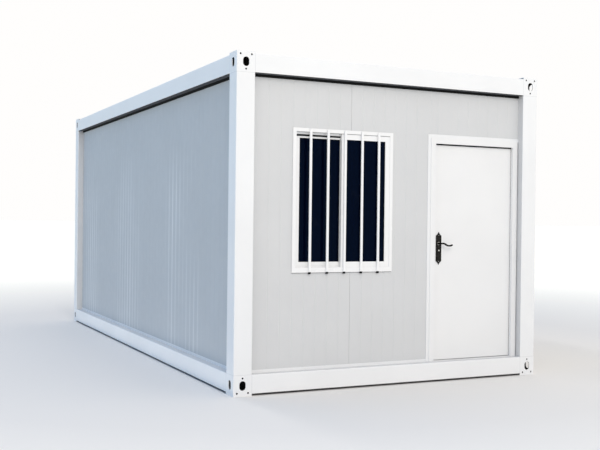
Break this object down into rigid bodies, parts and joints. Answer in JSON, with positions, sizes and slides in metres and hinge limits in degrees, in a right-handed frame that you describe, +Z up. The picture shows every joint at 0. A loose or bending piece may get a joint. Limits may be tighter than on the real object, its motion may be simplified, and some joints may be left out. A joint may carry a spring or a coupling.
{
  "type": "container house",
  "caption": "Flat-roofed steel-framed container house with insulated panel walls, hollow corner blocks, a barred sliding window and a hinged door in one end.",
  "frame": {"origin": "middle of the footprint, on the ground", "axes": "+Z up, -Y towards the end with the door and window, +Y along the house's length, +X to the right seen from the front"},
  "size_m": [3, 5.95, 2.75],
  "materials": {
    "frame_white": "satin white paint on cold-formed steel",
    "wall_panel": "matt light grey coil coating with fine ribs",
    "wall_trim": "satin white folded sheet",
    "window_plastic": "white extruded plastic",
    "pane_glass": "clear float glass, dark room behind",
    "bar_white": "white powder coat",
    "door_white": "satin white paint on steel skins",
    "lock_bronze": "dark bronze lacquer, rubbed bright on edges",
    "hinge_steel": "satin steel",
    "galvanised": "galvanised",
    "roof_steel": "zinc coated ribbed sheet",
    "floor_covering": "sheet vinyl on cement board",
    "ceiling_white": "matt white ceiling sheet"
  },
  "bodies": {
    "house": {"back_wall": "wall_panel", "base_block_back_left": "frame_white", "base_block_back_right": "frame_white", "base_block_front_left": "frame_white", "base_block_front_right": "frame_white", "ceiling": "ceiling_white", "corner_trims": "wall_trim", "door_frame": "door_white", "door_surround": "wall_trim", "floor_beam_back": "frame_white", "floor_beam_front": "frame_white", "floor_beam_left": "frame_white", "floor_beam_right": "frame_white", "floor_board": "floor_covering", "floor_joists": "galvanised", "front_wall_left": "wall_panel", "front_wall_middle": "wall_panel", "front_wall_over_door": "wall_panel", "head_block_back_left": "frame_white", "head_block_back_right": "frame_white", "head_block_front_left": "frame_white", "head_block_front_right": "frame_white", "hinge_frame_side": "hinge_steel", "left_wall": "wall_panel", "post_back_left": "frame_white", "post_back_right": "frame_white", "post_front_left": "frame_white", "post_front_right": "frame_white", "right_wall": "wall_panel", "roof_beam_back": "frame_white", "roof_beam_front": "frame_white", "roof_beam_left": "frame_white", "roof_beam_right": "frame_white", "roof_purlins": "galvanised", "roof_sheet": "roof_steel", "wall_base_channels": "wall_trim", "window_bars": "bar_white", "window_frame": "window_plastic", "window_panes": "pane_glass", "window_sashes": "window_plastic"},
    "door": {"door_leaf": "door_white", "hinge_leaf_side": "hinge_steel", "lock_plates": "lock_bronze"},
    "handle": {"lever_outer": "lock_bronze", "lever_inner": "lock_bronze"}
  },
  "joints": [
    {"name": "door_hinge", "type": "hinge", "parent": "house", "child": "door", "pos_m": [1.2945, -2.821, 1.146], "axis": [0, 0, -1], "range_deg": [0, 90]},
    {"name": "handle_turn", "type": "hinge", "parent": "door", "child": "handle", "pos_m": [0.489, -2.853, 1.216], "axis": [0, 1, 0], "range_deg": [0, 45], "stiffness_Nm_per_rad": 1.2, "springref_deg": -28.65}
  ]
}
